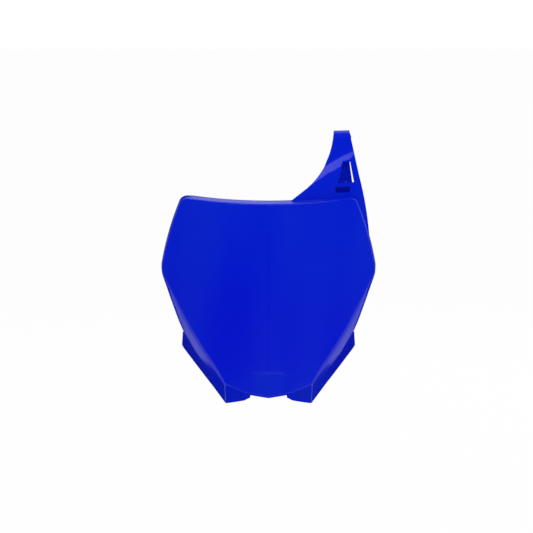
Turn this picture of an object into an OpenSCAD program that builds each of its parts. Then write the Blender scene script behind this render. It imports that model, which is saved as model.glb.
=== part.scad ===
// Motocross racing number board: one thin moulding with flared wings and a strap arm.
// Millimetres. +X is the viewer's right, +Y goes to the back, +Z is up.
// The origin is the centre of the mounting bolt's hole, on the plane of symmetry.

/* [Field] */
// Half width at the two widest corners, before they are rounded
wide_half = 123; // [116:0.5:130]
// Height of the widest corners above the bolt hole
wide_z = 113; // [106:1:120]
// Half width at the top corners, before they are rounded
top_half = 98.5; // [92:0.5:104]
// Height of the top corners above the bolt hole
top_z = 199.5; // [194:0.5:205]
// How far the middle of the top edge dips below its corners
top_dip = 5.7; // [3:0.1:9]
// How far the upper sides bulge past a straight line
side_bulge = 2.9; // [1:0.1:5]
// Half width at the feet
foot_half = 50; // [44:0.5:56]
// Height of the field's lower corners, under the bolt hole
foot_z = -14.5; // [-20:0.5:-10]
// Half width at the change of slope in the bottom edge
kink_half = 27; // [23:1:34]
// Height of that change of slope
kink_z = -23.8; // [-26:0.2:-22]
// Height of the middle of the bottom edge
tip_z = -28.2; // [-33:0.2:-27]
// Radius of the bow across the field, about an upright axis
bow_r = 340; // [290:5:420]
// Corner radius at the top corners
top_round = 9; // [5:1:14]
// Corner radius at the widest corners
wide_round = 24; // [12:1:34]

/* [Walls] */
// Thickness of the moulding
wall = 2.5; // [2:0.1:3]
// Depth of the lip that turns back all round the field
lip_depth = 14; // [10:1:18]
// How far the top lip slopes up over its depth
top_draft = 2.2; // [1:0.1:4]
// How far the upper side lips slope outwards over their depth
side_draft = 0.6; // [0.2:0.1:1.5]
// How far the lower side band reaches outwards where the wing starts
band_start = 13.4; // [9:0.1:15]
// How far that band reaches outwards at the foot
band_end = 9; // [6:0.1:11]
// Distance down the lower side from the widest corner to the wing
band_run = 71.5; // [60:0.5:84]
// Outward slope of the wing behind the band, sideways over back
wing_slope = 0.395; // [0.3:0.005:0.5]
// Slope of the wall under the feet, down over back
foot_slope = 1.07; // [0.9:0.01:1.2]

/* [Wings] */
// Depth of the wing's front upper corner behind the field's front
wing_front_y = 25.8; // [22:0.2:30]
// Height of that corner
wing_front_z = 44.5; // [38:0.5:50]
// Depth of the wing's rearmost corner
wing_back_y = 57.8; // [48:0.2:64]
// Height of the rearmost corner
wing_back_z = 22.8; // [14:0.2:30]
// Depth of the foot's tip
foot_tip_y = 26; // [22:0.5:30]
// Half width of the notch between the feet
notch_half = 21.2; // [17:0.1:22]
// Depth of the feet's inner ends
notch_y = 5.8; // [4.5:0.1:8]

/* [Arm] */
// How far the arm's panel lies behind the field's front
arm_setback = 9; // [6:0.5:10]
// Half way across the strap, from the plane of symmetry
strap_x = 83; // [80:0.5:86]
// Angle of the strap about the upright, so that it lies along the bow
strap_turn = 14; // [6:1:20]
// How far the strap is set back from the panel at its middle
strap_step = 5; // [4:0.5:8]
// Height of the joggle's upper fold at the middle of the strap
fold_z = 243.5; // [240:0.5:247]
// Angle of the joggle's folds across the strap
fold_angle = 30; // [15:1:36]
// Height of the bar that the strap goes round
bar_z = 264.7; // [262:0.1:269]
// Radius of the bar
bar_r = 6.5; // [6:0.1:8]
// Width of the strap over the bar
strap_w = 17.6; // [15:0.2:20]
// Radius of the concave left edge of the arm
arm_hollow_r = 85; // [80:1:90]
// Radius of the right edge of the arm
arm_side_r = 400; // [360:5:460]
// Reach of the arm's right edge from the plane of symmetry
arm_side_x = 116.4; // [115.6:0.2:118]
// How far below the fold the arm's right edge turns straight
arm_straight = 20; // [14:1:26]

/* [Arm openings] */
// Height of the window's lower edge
window_z = 215.6; // [214.8:0.1:218]
// Height of the window
window_h = 23.7; // [20:0.1:25]
// Width of the window at its top
window_top_w = 8.8; // [7:0.1:11]
// Width of the window at its foot
window_foot_w = 18.6; // [15:0.1:20]
// Middle of the window at its top
window_top_x = 88.9; // [87:0.1:90]
// Middle of the window at its foot
window_foot_x = 88.5; // [87:0.1:90]
// Middle of the slot
slot_x = 84.3; // [82:0.1:86]
// Height of the slot's lower edge
slot_z = 204.3; // [203.6:0.1:205.2]
// Width of the slot
slot_w = 17.1; // [15:0.1:18.5]
// Height of the slot
slot_h = 7; // [5.5:0.1:7.6]

/* [Strap tail] */
// Height of the tail's lower end
tail_end_z = 194; // [190:1:198]
// Height where the tail leaves the bar's side
tail_top_z = 256; // [252:1:259]
// Height where the tail is straight again, behind the window
tail_low_z = 229; // [227:1:236]
// How far the tail comes forward between those heights
tail_in = 8; // [4:0.5:9]
// Half width of the tail at its lower end, on the outer side
tail_flare = 6; // [3:0.5:7]
// Reach of the tooth from the tail's front
tooth_out = 4.5; // [3:0.1:5]
// Height of the tooth's flat upper face
tooth_z = 218; // [217:0.2:221]
// Height of the tooth
tooth_h = 7; // [5:0.2:9]

/* [Back of the field] */
// Radius of the mounting bolt's hole
bolt_r = 3.25; // [2.7:0.05:4.2]
// Distance from the field's front to the bolt's axis
bolt_back = 22; // [19:0.5:26]
// Width of the mounting tab
tab_w = 34; // [28:1:38]
// Thickness of the mounting tab
tab_t = 4; // [3:0.2:6]
// Depth of the webs under the tab
web_h = 12; // [8:0.5:13]
// Thickness of the webs and of the rib
rib_t = 2; // [1.4:0.1:2.6]
// How far the rib stands off the field
rib_out = 5; // [3:0.5:8]
// Length over which the rib runs out at its upper end
rib_fade = 30; // [15:1:40]
// Height of the rib's upper end
rib_top_z = 170; // [140:1:180]

/* [Hidden] */
$fn = 96;
// How far the block that the field is cut from reaches in front of it
front_gap = 6;
// How far in front of the crease that block's second ring lies
crease_gap = 1;
// How far behind the lip its third ring lies
lip_past = 0.5;
// Length by which the strap's bend is let into its two legs
tongue = 2;
// Width of the small flat at the tip of each foot
tip_flat = 0.3;
// How far the arm's blank reaches past the edges that are cut on it
edge_past = 2;
// How far the arm's blank reaches left of the strap at the fold
blank_past = 8;
// Height of the tooth's blunt edge
tooth_lip = 0.8;
// Depth of the block's back, behind every part of the wings
back_y = 66;
// Length of the cutting shapes, longer than the board
reach = 2 * bar_z;
// Height well below the feet, where cuts from below start
under_z = 4 * foot_z;
// Number of stretches along each straight or bulging side
side_steps = 8;
// Number of stretches round each corner
corner_steps = 6;
// Number of stations along half the top edge
top_steps = 12;
// How far from a corner the points lie that give its two directions, as a share of the side
beside_corner = 0.02;
// Where the upper side's own stations start and end, as shares of it
upper_from = 0.1;
upper_to = 0.84;
// Where the lower side's own stations start, as a share of it
low_from = 0.12;
// Outside radius of the strap where it goes round the bar
bend_r = bar_r + wall;
// Depth of the strap's front at its middle
strap_y = arm_setback + bow_r - sqrt(bow_r * bow_r - strap_x * strap_x) + strap_step;

function bow(x) = bow_r - sqrt(bow_r * bow_r - x * x);
function unit(v) = v / norm(v);
function mix(a, b, t) = a + (b - a) * t;
// Outward normal of the stretch from a to b, on an outline that runs clockwise
function outward(a, b) = unit([a.y - b.y, b.x - a.x]);
// The move that takes a corner out by da from one side and by db from the other
function corner_move(na, da, nb, db) =
    let (turn = na.x * nb.y - na.y * nb.x)
    abs(turn) < 0.12 ? unit(na + nb) * (da + db) / 2
    : [da * nb.y - db * na.y, db * na.x - da * nb.x] / turn;
// A corner at v between a and b, rounded to radius r
function rounded(a, v, b, r) =
    let (ua = unit(a - v), ub = unit(b - v),
         half = acos(ua * ub) / 2,
         back = r / tan(half),
         mid = v + unit(ua + ub) * r / sin(half),
         sweep = 180 - 2 * half,
         from = v + ua * back - mid)
    [for (i = [0:corner_steps])
        let (q = -sweep * i / corner_steps)
        mid + [from.x * cos(q) - from.y * sin(q), from.x * sin(q) + from.y * cos(q)]];

// The right half of the field's outline, clockwise from the middle of the top edge
top_r = (top_half * top_half + top_dip * top_dip) / (2 * top_dip);
function top_edge(x) = top_z - top_dip + top_r - sqrt(top_r * top_r - x * x);
top_corner = [top_half, top_z];
wide_corner = [wide_half, wide_z];
foot_corner = [foot_half, foot_z];
side_chord = wide_corner - top_corner;
function upper_side(t) =
    top_corner + side_chord * t + outward(top_corner, wide_corner) * side_bulge * 4 * t * (1 - t);
function lower_side(t) = wide_corner + (foot_corner - wide_corner) * t;
lower_len = norm(foot_corner - wide_corner);
band_share = band_run / lower_len;

// Each station is a place on the outline, the slope of its lip and the slope behind the lip
top_stations = [for (i = [0:top_steps - 1])
    let (x = (top_half - 2 * top_round) * i / (top_steps - 1))
    [[x, top_edge(x)], top_draft / lip_depth, top_draft / lip_depth]];
before_corner = top_half * (1 - beside_corner);
top_corner_points = rounded([before_corner, top_edge(before_corner)], top_corner,
    upper_side(beside_corner), top_round);
top_corner_stations = [for (i = [0:corner_steps])
    let (s = mix(top_draft, side_draft, i / corner_steps) / lip_depth)
    [top_corner_points[i], s, s]];
upper_stations = [for (i = [1:side_steps])
    [upper_side(mix(upper_from, upper_to, i / side_steps)), side_draft / lip_depth, side_draft / lip_depth]];
wide_points = rounded(upper_side(1 - beside_corner), wide_corner, lower_side(beside_corner), wide_round);
wide_stations = [for (i = [1:corner_steps - 1])
    [wide_points[i], side_draft / lip_depth, mix(side_draft / lip_depth, wing_slope, i / corner_steps)]];
function lip_slope(t) = (t < band_share ? mix(side_draft, band_start, t / band_share)
    : mix(band_start, band_end, (t - band_share) / (1 - band_share))) / lip_depth;
lower_places = concat([for (i = [0:side_steps]) mix(low_from, band_share, i / side_steps)],
    [for (i = [1:side_steps - 1]) mix(band_share, 1, i / side_steps)]);
lower_stations = [for (t = lower_places) [lower_side(t), lip_slope(t), wing_slope]];
foot_stations = [[foot_corner, band_end / lip_depth, wing_slope]];
bottom_stations = [
    [mix(foot_corner, [kink_half, kink_z], 0.5), foot_slope, foot_slope],
    [[kink_half, kink_z], foot_slope, foot_slope],
    [mix([kink_half, kink_z], [0, tip_z], 0.5), foot_slope, foot_slope]];
right_half = concat(top_stations, top_corner_stations, upper_stations, wide_stations,
    lower_stations, foot_stations, bottom_stations);
foot_at = len(right_half) - len(bottom_stations) - 1;
tip_station = [[[0, tip_z], foot_slope, foot_slope]];
function flipped(s) = [[-s[0].x, s[0].y], s[1], s[2]];
left_half = [for (i = [len(right_half) - 1:-1:1]) flipped(right_half[i])];
stations = concat(right_half, tip_station, left_half);
count = len(stations);
foot_slots = [foot_at, count - foot_at];

function at(i) = stations[(i + count) % count];
function is_under(i) = i > foot_slots[0] && i < foot_slots[1];
// How far out a wall lies at depth s behind the crease, less what the inset takes off
function out_by(lip, rear, s, inset, last) =
    (s < lip_depth ? lip * s : lip * lip_depth + rear * (s - lip_depth))
    - inset * sqrt(1 + pow(last ? rear : lip, 2));
// A wall's place at station i and depth y, moved in by inset
function wall_point(i, y, inset, last) =
    let (here = at(i), before = at(i - 1), after = at(i + 1),
         na = outward(before[0], here[0]), nb = outward(here[0], after[0]),
         s = y - bow(here[0].x),
         own = out_by(here[1], here[2], s, inset, last),
         foot = out_by(foot_slope, foot_slope, s, inset, last),
         da = i == foot_slots[1] ? foot : own,
         db = i == foot_slots[0] ? foot : own,
         drop = own / unit(na + nb).y,
         p = here[0] + (is_under(i) ? [0, drop] : corner_move(na, da, nb, db)))
    [p.x, y, p.y];

// A closed block whose sides are the moulding's walls, wider towards the back
module wall_block(inset) {
    ring_near = [for (i = [0:count - 1]) wall_point(i, bow(at(i)[0].x) - crease_gap, inset, false)];
    ring_front = [for (p = ring_near) [p.x, -front_gap, p.z]];
    ring_lip = [for (i = [0:count - 1]) wall_point(i, bow(at(i)[0].x) + lip_depth + lip_past, inset, false)];
    ring_back = [for (i = [0:count - 1]) wall_point(i, back_y, inset, true)];
    sides = [for (k = [0:2], i = [0:count - 1])
        let (a = k * count + i, b = k * count + (i + 1) % count)
        each [[a, b + count, b], [a, a + count, b + count]]];
    front = [for (i = [0:count - 1]) [4 * count, i, (i + 1) % count]];
    back = [for (i = [0:count - 1]) [4 * count + 1, 3 * count + (i + 1) % count, 3 * count + i]];
    middles = [[0, -front_gap, wide_z / 2], [0, back_y, wide_z / 2]];
    polyhedron(concat(ring_front, ring_near, ring_lip, ring_back, middles), concat(sides, front, back));
}

// Everything behind a surface that lies the given depth behind the bow of the field
module behind_bow(depth) {
    translate([0, bow_r, -reach / 4])
        cylinder(r = bow_r - depth, h = reach, $fn = 360);
}

// A plate seen from the front: its outline is drawn in X and Z and carried through all depths
module from_front() {
    translate([0, reach / 2, 0])
        rotate([90, 0, 0])
            linear_extrude(reach)
                children();
}

// A plate seen from the side: its outline is drawn in Y and Z and centred across
module from_side(width) {
    rotate([90, 0, 90])
        linear_extrude(width, center = true)
            children();
}

// What is taken off behind the lip, leaving the wings
module behind_lip() {
    difference() {
        translate([0, bow_r + lip_depth, -reach / 4])
            cylinder(r = bow_r, h = reach, $fn = 360);
        from_side(reach)
            polygon([[-front_gap, under_z], [foot_tip_y, under_z], [foot_tip_y, wing_low_z],
                [wing_back_y, wing_back_z], [wing_front_y, wing_front_z], [-front_gap, wing_front_z]]);
    }
    from_side(reach)
        polygon([[foot_tip_y, wing_low_z], [wing_back_y, wing_back_z], [wing_back_y + 1, wing_back_z],
            [back_y + 1, wing_back_z], [back_y + 1, under_z], [foot_tip_y, under_z]]);
}

// The foot's tip, where its ridge reaches its full depth
ridge_end = wall_point(foot_slots[0], foot_tip_y, 0, true);
wing_low_z = ridge_end.z + tip_flat;
ridge_x = ridge_end.x;

// What is taken off between the feet and behind their sloping lower wall
module between_feet() {
    cut_x = ridge_x - tip_flat;
    cut_top = (foot_z + kink_z) / 2;
    translate([0, 0, under_z])
        linear_extrude(cut_top - under_z)
            polygon([[-cut_x, back_y + 1], [-cut_x, foot_tip_y], [-notch_half, notch_y],
                [-notch_half, wall / 2], [notch_half, wall / 2], [notch_half, notch_y],
                [cut_x, foot_tip_y], [cut_x, back_y + 1]]);
}

// The strap's own frame: X across the strap, Y from its front to the back
module strap_frame() {
    translate([strap_x, strap_y, 0])
        rotate([0, 0, strap_turn])
            children();
}

// Everything behind the strap and its joggle, moved back by depth
module behind_strap(depth) {
    fold_drop = depth * (sqrt(2) - 1);
    far = reach / 2 + depth;
    strap_frame()
        translate([0, 0, fold_z])
            rotate([0, -fold_angle, 0])
                from_side(reach + depth)
                    polygon([[depth, far], [depth, -fold_drop], [depth - far, -fold_drop - far],
                        [far, -fold_drop - far], [far, far]]);
}

// The arm's outline from the front, up to the middle of the bar
module arm_outline() {
    strap_left = strap_x - strap_w / 2;
    strap_right = strap_x + strap_w / 2;
    arm_top = bar_z + bend_r;
    hollow_mid = [strap_left - arm_hollow_r, arm_top + edge_past];
    side_mid = [arm_side_x - arm_side_r, wide_z + 3 * wall];
    side_top = fold_z - arm_straight;
    side_at = side_mid.x + sqrt(pow(arm_side_r, 2) - pow(side_top - side_mid.y, 2));
    difference() {
        polygon([[strap_left, arm_top + edge_past], [strap_right, arm_top + edge_past], [strap_right, arm_top],
            [side_at, side_top], [arm_side_x + 2 * wall, side_mid.y], [arm_side_x - 3 * wall, side_mid.y],
            [top_half - lip_depth, top_z - lip_depth], [0, top_z - top_dip - 2 * wall], [0, top_z + wall],
            [strap_left - blank_past, fold_z]]);
        translate(hollow_mid)
            circle(r = arm_hollow_r, $fn = 240);
        difference() {
            translate([0, side_mid.y - 1])
                square([arm_side_r, side_top - side_mid.y + 1]);
            translate(side_mid)
                circle(r = arm_side_r, $fn = 720);
        }
    }
}

// The window for the tooth and the slot under it
module arm_openings() {
    window_top = window_z + window_h;
    polygon([[window_foot_x - window_foot_w / 2, window_z], [window_foot_x + window_foot_w / 2, window_z],
        [window_top_x + window_top_w / 2, window_top], [window_top_x - window_top_w / 2, window_top]]);
    translate([slot_x - slot_w / 2, slot_z])
        square([slot_w, slot_h]);
}

// The arm's panel and its joggle back to the strap, below the middle of the bar
module arm_panel() {
    difference() {
        intersection() {
            behind_bow(arm_setback);
            behind_strap(0);
            from_front()
                intersection() {
                    arm_outline();
                    square([reach, bar_z]);
                }
        }
        intersection() {
            behind_bow(arm_setback + wall);
            behind_strap(wall);
        }
        from_front()
            arm_openings();
    }
}

// The strap over the bar, in section from the side
module bend_section() {
    intersection() {
        difference() {
            circle(r = bend_r);
            circle(r = bar_r);
        }
        translate([-bend_r, 0])
            square([2 * bend_r, bend_r]);
    }
}

// What joins the bend to its two legs inside the wall
module tongue_section() {
    for (side = [-1, 1])
        translate([side * (bar_r + wall / 2) - wall / 4, -tongue])
            square([wall / 2, 2 * tongue]);
}

// The tail with its tooth, in section from the side
module tail_section() {
    low = bend_r - tail_in;
    polygon([[bar_r, 0], [bend_r, 0], [bend_r, tail_top_z - bar_z], [low, tail_low_z - bar_z],
        [low, tail_end_z - bar_z], [low - wall, tail_end_z - bar_z], [low - wall, tooth_z - tooth_h - bar_z],
        [low - wall - tooth_out, tooth_z - tooth_lip - bar_z], [low - wall, tooth_z - bar_z],
        [low - wall, tail_low_z - bar_z], [bar_r, tail_top_z - bar_z]]);
}

module strap_bend() {
    intersection() {
        strap_frame()
            translate([0, bend_r, bar_z])
                from_side(3 * strap_w)
                    bend_section();
        from_front()
            arm_outline();
    }
    strap_frame()
        translate([0, bend_r, bar_z])
            from_side(strap_w / 2)
                tongue_section();
}

module strap_tail() {
    left = strap_x - strap_w / 2;
    right = strap_x + strap_w / 2;
    intersection() {
        strap_frame()
            translate([0, bend_r, bar_z])
                from_side(3 * strap_w)
                    tail_section();
        from_front()
            polygon([[left, bar_z], [right, bar_z], [right, tail_low_z + tail_flare],
                [right + tail_flare, tail_end_z], [left, tail_end_z]]);
    }
}

// The tab for the mounting bolt, its webs and the rib up the back of the field
module mounting_tab() {
    boss_r = 3 * bolt_r;
    difference() {
        union() {
            translate([0, 0, -tab_t / 2])
                linear_extrude(tab_t)
                    polygon([[-tab_w / 2, wall / 2], [tab_w / 2, wall / 2],
                        [boss_r, bolt_back], [-boss_r, bolt_back]]);
            translate([0, bolt_back, -tab_t / 2])
                cylinder(r = boss_r, h = tab_t);
        }
        translate([0, bolt_back, -tab_t])
            cylinder(r = bolt_r, h = 2 * tab_t);
    }
    for (side = [-1, 1])
        translate([side * (tab_w / 2 - rib_t), 0, 0])
            from_side(rib_t)
                polygon([[wall / 2, 0], [bolt_back - 2 * bolt_r, 0], [wall / 2 + 1, -web_h], [wall / 2, -web_h]]);
}

module rib() {
    from_side(rib_t)
        polygon([[wall / 2, 0], [wall + rib_out, 0], [wall + rib_out, rib_top_z - rib_fade], [wall / 2, rib_top_z]]);
}

module number_board() {
    color("mediumblue")
        translate([0, -bolt_back, 0]) {
            difference() {
                union() {
                    difference() {
                        intersection() {
                            wall_block(0);
                            behind_bow(0);
                        }
                        behind_lip();
                        between_feet();
                    }
                    arm_panel();
                }
                intersection() {
                    wall_block(wall);
                    behind_bow(wall);
                }
            }
            strap_bend();
            strap_tail();
            mounting_tab();
            rib();
        }
}

number_board();
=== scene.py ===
# %% [markdown]
# # A motocross number board in Blender
# The object is one glossy blue plastic moulding: a bowed field for the rider's number, a lip
# that turns back round it, two wings at the lower sides, and an arm with a strap that clips
# over the handlebar's cross brace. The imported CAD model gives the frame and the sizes. Here
# the same shapes are modelled again with the soft edges and the gloss of the real thing.

# %% Load the frame
import bpy, bmesh
from math import acos, cos, pi, radians, sin, sqrt, tan
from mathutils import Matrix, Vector


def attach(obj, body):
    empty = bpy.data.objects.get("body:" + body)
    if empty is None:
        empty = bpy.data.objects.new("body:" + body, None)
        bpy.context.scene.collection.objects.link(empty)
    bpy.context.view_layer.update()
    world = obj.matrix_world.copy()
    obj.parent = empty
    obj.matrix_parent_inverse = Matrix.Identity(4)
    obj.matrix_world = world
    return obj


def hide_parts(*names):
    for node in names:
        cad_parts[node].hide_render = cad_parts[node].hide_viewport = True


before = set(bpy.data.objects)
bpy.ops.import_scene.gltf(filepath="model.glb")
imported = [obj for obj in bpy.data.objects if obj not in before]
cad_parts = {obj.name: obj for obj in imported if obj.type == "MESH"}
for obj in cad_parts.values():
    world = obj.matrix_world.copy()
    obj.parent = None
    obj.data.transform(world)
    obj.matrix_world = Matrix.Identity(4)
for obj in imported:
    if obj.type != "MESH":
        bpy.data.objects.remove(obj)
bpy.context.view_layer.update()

# %% [markdown]
# ## The camera
# The photograph looks straight at the board from a little above, with a long lens, so that
# near and far parts keep nearly the same scale. A lens can be found from the width that the
# picture has to take in: lens = sensor width x distance / picture width.

# %% Camera
DISTANCE = 4.0
PICTURE_WIDTH = 0.6076
SENSOR_WIDTH = 36
PITCH = radians(9)
LOOK_AT = Vector((-0.0023, 0.0, 0.119))
camera_data = bpy.data.cameras.new("camera")
camera_data.sensor_width = SENSOR_WIDTH
camera_data.lens = SENSOR_WIDTH * DISTANCE / PICTURE_WIDTH
camera = bpy.data.objects.new("camera", camera_data)
bpy.context.scene.collection.objects.link(camera)
camera.location = LOOK_AT + DISTANCE * Vector((0, -cos(PITCH), sin(PITCH)))
camera.rotation_euler = (pi / 2 - PITCH, 0, 0)
bpy.context.scene.camera = camera
print("lens", round(camera_data.lens, 1), "mm")

# %% [markdown]
# ## Lengths and helpers
# The board's lengths are the CAD model's own, in millimetres: x to the right, y back from the
# field's front, z up from the bolt's hole. One function turns such a point into metres in the
# shared frame, where the bolt's hole lies 22 mm behind the field's front.

# %% Helpers
BOLT_BACK = 22
WALL = 2.5


def metres(x, y, z):
    return Vector((x, y - BOLT_BACK, z)) / 1000


def mix(a, b, t):
    return a + (b - a) * t


def clamped(t):
    return min(1, max(0, t))


def smooth_step(value, low, high):
    t = clamped((value - low) / (high - low))
    return t * t * (3 - 2 * t)


def nothing_selected():
    if bpy.context.object and bpy.context.object.mode == "EDIT":
        bpy.ops.object.mode_set(mode="OBJECT")
    bpy.ops.object.select_all(action="DESELECT")


def make_active(piece):
    """Selects one piece alone, as the one that the operators work on."""
    nothing_selected()
    piece.select_set(True)
    bpy.context.view_layer.objects.active = piece


def open_mesh(piece, kind):
    """Opens a piece in edit mode with nothing selected, ready for edges or faces."""
    make_active(piece)
    bpy.ops.object.mode_set(mode="EDIT")
    bpy.ops.mesh.select_mode(type=kind)
    bpy.ops.mesh.select_all(action="DESELECT")
    return bmesh.from_edit_mesh(piece.data)


def grid_order(piece):
    """The vertices of a new grid, row by row and each row from left to right."""
    points = piece.data.vertices
    return sorted(range(len(points)), key=lambda i: (round(points[i].co.y, 5), points[i].co.x))


def named(name):
    """The new primitive under its piece's name."""
    piece = bpy.context.object
    piece.name = piece.data.name = name
    return piece


def finish_modifier(piece, kind, **settings):
    """Adds a modifier, sets it and applies it."""
    make_active(piece)
    modifier = piece.modifiers.new(kind.lower(), kind)
    for key, value in settings.items():
        setattr(modifier, key, value)
    bpy.ops.object.modifier_apply(modifier=modifier.name)


def measure(piece):
    size = [round(v * 1000, 1) for v in piece.dimensions]
    print(piece.name, "faces", len(piece.data.polygons), "size mm", size)


# %% [markdown]
# ## The field's outline
# The outline is the shape that everybody knows this board by: a dipped top edge, bulging
# upper sides, straight lower sides and a shallow point between the feet. It can be drawn as a
# curve, but here it is worked out as two chains of points, an upper and a lower one, because
# the field is built as upright strips, each with one end on either chain.

# %% Outline
BOW_R = 340
TOP_CORNER = Vector((98.5, 199.5))
WIDE_CORNER = Vector((123, 113))
FOOT_CORNER = Vector((50, -14.5))
KINK = Vector((27, -23.8))
TIP = Vector((0, -28.2))
TOP_DIP = 5.7
UPPER_BULGE, LOWER_BULGE = 2.9, 3
TOP_ROUND_R, WIDE_ROUND_R = 9, 24
TOP_ROUND_X = 96.5
NOTCH_HALF = 21.2


def bow(x):
    return BOW_R - sqrt(BOW_R * BOW_R - x * x)


def outward(a, b):
    step = (b - a).normalized()
    return Vector((-step.y, step.x))


def rounded(a, v, b, r, steps):
    """The corner at v between a and b, rounded to radius r."""
    ua, ub = (a - v).normalized(), (b - v).normalized()
    half = acos(ua.dot(ub)) / 2
    mid = v + (ua + ub).normalized() * r / sin(half)
    start = v + ua * r / tan(half) - mid
    turn = -(pi - 2 * half)
    points = []
    for i in range(steps + 1):
        q = turn * i / steps
        points.append(mid + Vector((start.x * cos(q) - start.y * sin(q),
                                    start.x * sin(q) + start.y * cos(q))))
    return points


def top_edge(x):
    r = (TOP_CORNER.x ** 2 + TOP_DIP ** 2) / (2 * TOP_DIP)
    return TOP_CORNER.y - TOP_DIP + r - sqrt(r * r - x * x)


def upper_side(t):
    bulge = outward(TOP_CORNER, WIDE_CORNER) * UPPER_BULGE * 4 * t * (1 - t)
    return TOP_CORNER + (WIDE_CORNER - TOP_CORNER) * t + bulge


def lower_side(t):
    bulge = outward(WIDE_CORNER, FOOT_CORNER) * LOWER_BULGE * sin(pi * t) ** 2
    return WIDE_CORNER.lerp(FOOT_CORNER, t) + bulge


top = [Vector((x, top_edge(x))) for x in range(0, 88, 3)]
top_round = rounded(Vector((TOP_ROUND_X, top_edge(TOP_ROUND_X))), TOP_CORNER,
                    upper_side(0.02), TOP_ROUND_R, steps=16)
side = [upper_side(mix(0.1, 0.86, i / 30)) for i in range(31)]
wide_round = rounded(upper_side(0.98), WIDE_CORNER, lower_side(0.02), WIDE_ROUND_R, steps=24)
widest = max(range(len(wide_round)), key=lambda i: wide_round[i].x)
upper_chain = top + top_round + side + wide_round[:widest + 1]
lower_chain = (wide_round[widest:] + [lower_side(i / 60) for i in range(5, 61)]
               + [FOOT_CORNER.lerp(KINK, i / 5) for i in range(1, 6)]
               + [KINK.lerp(TIP, i / 8) for i in range(1, 9)])
print("widest at", [round(v, 2) for v in wide_round[widest]])


TINY = 1e-9


def on_chain(chain, x):
    """The place and the outward direction of a chain at x."""
    for a, b in zip(chain, chain[1:]):
        if min(a.x, b.x) - TINY <= x <= max(a.x, b.x) + TINY and abs(a.x - b.x) > TINY:
            return a.lerp(b, (x - a.x) / (b.x - a.x)), outward(a, b)
    return chain[0].copy(), Vector((0, 1))


# The columns run through the outline's points, but none is narrower than this. Corners are
# always kept, and so are the two columns that make the steep side of the notch.
NARROWEST = 0.35
NOTCH_INSIDE = 20.8
last_x = wide_round[widest].x - 0.12
columns = {round(p.x, 2) for p in upper_chain + lower_chain if p.x < last_x - 0.2}
must_keep = {FOOT_CORNER.x, KINK.x, NOTCH_INSIDE, NOTCH_HALF}
kept = [0.0]
for x in sorted(columns | must_keep):
    close = x - kept[-1] < NARROWEST
    if x > 0 and (not close or x in must_keep):
        if close and kept[-1] not in must_keep and kept[-1] > 0:
            kept.pop()
        kept.append(x)
columns = [-x for x in reversed(kept[1:] + [last_x])] + kept + [last_x]
print("columns", len(columns))

# %% [markdown]
# ## How the walls lean
# Behind the crease the wall leans outwards, so that the mould opens. At the top and the upper
# sides it stands nearly straight. Down the lower sides the lean grows into a broad band, and
# behind that the wing goes back more steeply. Towards the foot the two leans draw together,
# until band and wing are nearly one surface. Each outline point gets its leans once, and the
# rings of the wall are then placed from them. A move is how far the wall has gone sideways at
# the lip's depth.

# %% Stations
LIP_DEPTH = 14
SIDE_MOVE, TOP_MOVE = 0.6, 2.2
TOP_MOVE_END, TOP_MOVE_RUN = 86, 15
BAND_START, BAND_END = 13.4, 9
WING_LEAN = 0.395
FOOT_LEAN = 1.07
LOWER_LENGTH = (FOOT_CORNER - WIDE_CORNER).length
BAND_SHARE = 71.5 / LOWER_LENGTH
BAND_FADE = 1.3
SLIMMER, SLIMMER_RUN = 0.8, 0.2
REAR_RUN = 0.1


def side_share(p):
    """How far down the lower side a point lies, from 0 to 1."""
    return (p - WIDE_CORNER).dot(FOOT_CORNER - WIDE_CORNER) / LOWER_LENGTH ** 2


def near_wing(share, run):
    """Grows from 0 to 1 over the last stretch above the wing."""
    return smooth_step(share, BAND_SHARE - run, BAND_SHARE)


def station(x, is_upper):
    """One outline point with what the wall behind it needs."""
    place, normal = on_chain(upper_chain if is_upper else lower_chain, abs(x))
    under = not is_upper and abs(x) < FOOT_CORNER.x
    share = 0 if is_upper or under else side_share(place)
    slimmer = LOWER_BULGE * sin(pi * clamped(share)) ** 2
    if is_upper:
        move = mix(TOP_MOVE, SIDE_MOVE, clamped((abs(x) - TOP_MOVE_END) / TOP_MOVE_RUN))
    elif share < BAND_SHARE:
        down = max(0, share / BAND_SHARE)
        move = mix(SIDE_MOVE, BAND_START, down)
        slimmer += SLIMMER * down
    else:
        move = mix(BAND_START, BAND_END, (share - BAND_SHARE) / (1 - BAND_SHARE))
        slimmer += SLIMMER * (1 - smooth_step(share, BAND_SHARE, BAND_SHARE + SLIMMER_RUN))
    if x < 0:
        place.x, normal.x = -place.x, -normal.x
    return {"place": place, "normal": normal, "share": share, "upper": is_upper, "under": under,
            "foot": not is_upper and abs(x) == FOOT_CORNER.x,
            "wing": not is_upper and not under and share >= BAND_SHARE - 1e-6,
            "lean": FOOT_LEAN if under else (move - slimmer) / LIP_DEPTH,
            "rear": mix(move / LIP_DEPTH, WING_LEAN, near_wing(share, REAR_RUN))}


stations = [station(x, False) for x in columns] + [station(x, True) for x in columns]
print("stations", len(stations), "on the wings", sum(s["wing"] for s in stations))

# %% [markdown]
# The wall's rings are found from one rule: the sideways move at a depth behind the crease. At
# the outer edge of the band the real moulding is soft, so the lean changes over 9 mm of depth
# and not at once. Above the wing the band keeps its lean, and a knee ends it nearer to the
# crease the higher it lies, so the band grows narrow. The knee is found by halving, until the
# wall reaches the rim at the right place. At the feet two walls meet, and the ridge is where
# both moves hold together.

# %% Wall rule
SOFT, UPPER_SOFT = 4.5, 1.2
BAND_TOP, BAND_FULL = 0.02, 0.22
FLAT_LEAN = 0.05
FLAT_RUN, SOFT_RUN = 0.04, 0.12
HALVINGS = 30


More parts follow.
